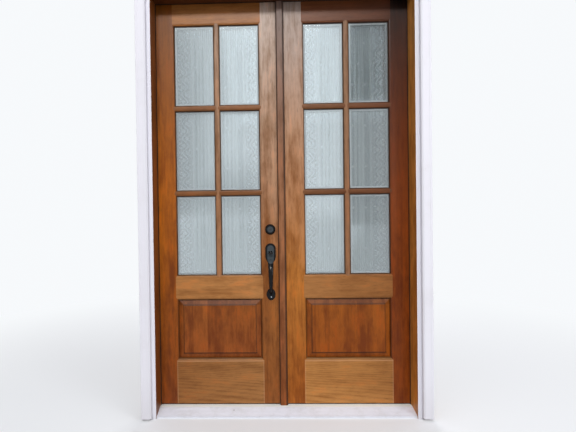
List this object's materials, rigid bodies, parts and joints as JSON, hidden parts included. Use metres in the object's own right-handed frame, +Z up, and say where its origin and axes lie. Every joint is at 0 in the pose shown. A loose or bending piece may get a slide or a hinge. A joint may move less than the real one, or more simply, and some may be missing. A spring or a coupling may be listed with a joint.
{
  "type": "french door set",
  "caption": "Pair of inswing glazed french doors in a wooden frame, with divided upper lites, raised lower panels, a T-shaped astragal, sill, casing, handleset and sash curtains.",
  "frame": {"origin": "on the underside of the sill, midway between the jambs, in the plane of the doors' outdoor face", "axes": "+X along the wall, to the right when seen from outdoors; +Y from outdoors to indoors; +Z up"},
  "size_m": [1.654, 0.2595, 2.5169],
  "materials": {
    "door_wood": "clear satin varnish over red-brown wood, upright grain on stiles and panels, level grain on rails",
    "jamb_wood": "stained and varnished like the doors, its outdoor edge painted white",
    "casing_paint": "off-white exterior paint, satin",
    "sill_wood": "clear varnish",
    "sill_aluminium": "mill finish, ribbed",
    "seal_rubber": "matt dark foam and rubber",
    "bronze": "dark oil-rubbed bronze, satin",
    "bolt_steel": "plain steel",
    "plug_brass": "worn brass",
    "glass": "clear double glazing",
    "spacer_metal": "plain mill finish",
    "sheer_curtain": "thin white sheer with lace borders",
    "rod_metal": "white paint"
  },
  "bodies": {
    "frame": {"left_jamb": "jamb_wood", "right_jamb": "jamb_wood", "head_jamb": "jamb_wood", "left_brickmould": "casing_paint", "right_brickmould": "casing_paint", "head_brickmould": "casing_paint", "sill_core": "sill_wood", "sill_cover": "sill_aluminium", "threshold_cap": "sill_wood", "frame_seals": "seal_rubber", "rod_strikes": "bronze", "frame_hinges": "bronze", "hinge_pins": "bronze"},
    "left_leaf": {"left_hinge_stile": "door_wood", "left_lock_stile": "door_wood", "left_top_rail": "door_wood", "left_lock_rail": "door_wood", "left_bottom_rail": "door_wood", "left_upright_bar": "door_wood", "left_cross_bars": "door_wood", "left_raised_panel": "door_wood", "left_panes": "glass", "left_spacers": "spacer_metal", "left_glazing_beads": "door_wood", "left_curtain": "sheer_curtain", "left_curtain_rods": "rod_metal", "left_door_hinges": "bronze", "left_sweep": "seal_rubber", "deadbolt_cylinder": "bronze", "bolt_cases": "bronze", "inside_roses": "bronze", "grip_handle": "bronze"},
    "right_leaf": {"right_hinge_stile": "door_wood", "right_lock_stile": "door_wood", "right_top_rail": "door_wood", "right_lock_rail": "door_wood", "right_bottom_rail": "door_wood", "right_upright_bar": "door_wood", "right_cross_bars": "door_wood", "right_raised_panel": "door_wood", "right_panes": "glass", "right_spacers": "spacer_metal", "right_glazing_beads": "door_wood", "right_curtain": "sheer_curtain", "right_curtain_rods": "rod_metal", "right_door_hinges": "bronze", "right_sweep": "seal_rubber", "astragal": "door_wood", "lock_strikes": "bronze", "flush_bolt_plates": "bronze"},
    "thumbturn": {"thumbturn": "bronze", "deadbolt_crank": "bolt_steel"},
    "key_plug": {"key_plug": "plug_brass"},
    "deadbolt": {"deadbolt_bolt": "bolt_steel"},
    "latch_bolt": {"latch_bolt": "bolt_steel"},
    "thumb_piece": {"thumb_piece": "bronze"},
    "inside_knob": {"inside_knob": "bronze", "knob_spindle": "bolt_steel"},
    "upper_flush_bolt": {"upper_flush_bolt": "bolt_steel"},
    "lower_flush_bolt": {"lower_flush_bolt": "bolt_steel"}
  },
  "joints": [
    {"name": "left_leaf_hinge", "type": "hinge", "parent": "frame", "child": "left_leaf", "pos_m": [-0.7665, 0.051, 0], "axis": [0, 0, 1], "range_deg": [0, 110]},
    {"name": "right_leaf_hinge", "type": "hinge", "parent": "frame", "child": "right_leaf", "pos_m": [0.7665, 0.051, 0], "axis": [0, 0, -1], "range_deg": [0, 100]},
    {"name": "thumbturn_turn", "type": "hinge", "parent": "left_leaf", "child": "thumbturn", "pos_m": [-0.07585, 0.05, 1.0837], "axis": [0, 1, 0], "range_deg": [0, 90]},
    {"name": "key_plug_turn", "type": "hinge", "parent": "left_leaf", "child": "key_plug", "pos_m": [-0.07585, 0, 1.0837], "axis": [0, 1, 0], "range_deg": [0, 90]},
    {"name": "deadbolt_slide", "type": "slide", "parent": "left_leaf", "child": "deadbolt", "axis": [1, 0, 0], "range_m": [0, 0.0254]},
    {"name": "latch_slide", "type": "slide", "parent": "left_leaf", "child": "latch_bolt", "axis": [1, 0, 0], "range_m": [0, 0.0127], "stiffness_N_per_m": 150, "springref_m": 0.0127},
    {"name": "thumb_press", "type": "hinge", "parent": "left_leaf", "child": "thumb_piece", "pos_m": [-0.07585, -0.004, 0.944], "axis": [1, 0, 0], "range_deg": [0, 13], "stiffness_Nm_per_rad": 0.5, "springref_deg": -5.73},
    {"name": "knob_turn", "type": "hinge", "parent": "left_leaf", "child": "inside_knob", "pos_m": [-0.07585, 0.05, 0.944], "axis": [0, 1, 0], "range_deg": [-50, 50], "stiffness_Nm_per_rad": 0.4},
    {"name": "upper_flush_slide", "type": "slide", "parent": "right_leaf", "child": "upper_flush_bolt", "axis": [0, 0, 1], "range_m": [0, 0.019]},
    {"name": "lower_flush_slide", "type": "slide", "parent": "right_leaf", "child": "lower_flush_bolt", "axis": [0, 0, -1], "range_m": [0, 0.019]}
  ],
  "couplings": [
    {"joint": "right_leaf_hinge", "follows": "left_leaf_hinge", "ratio": 0.9},
    {"joint": "thumbturn_turn", "follows": "deadbolt_slide", "rad_per_m": 61.84},
    {"joint": "key_plug_turn", "follows": "deadbolt_slide", "rad_per_m": 61.84}
  ]
}
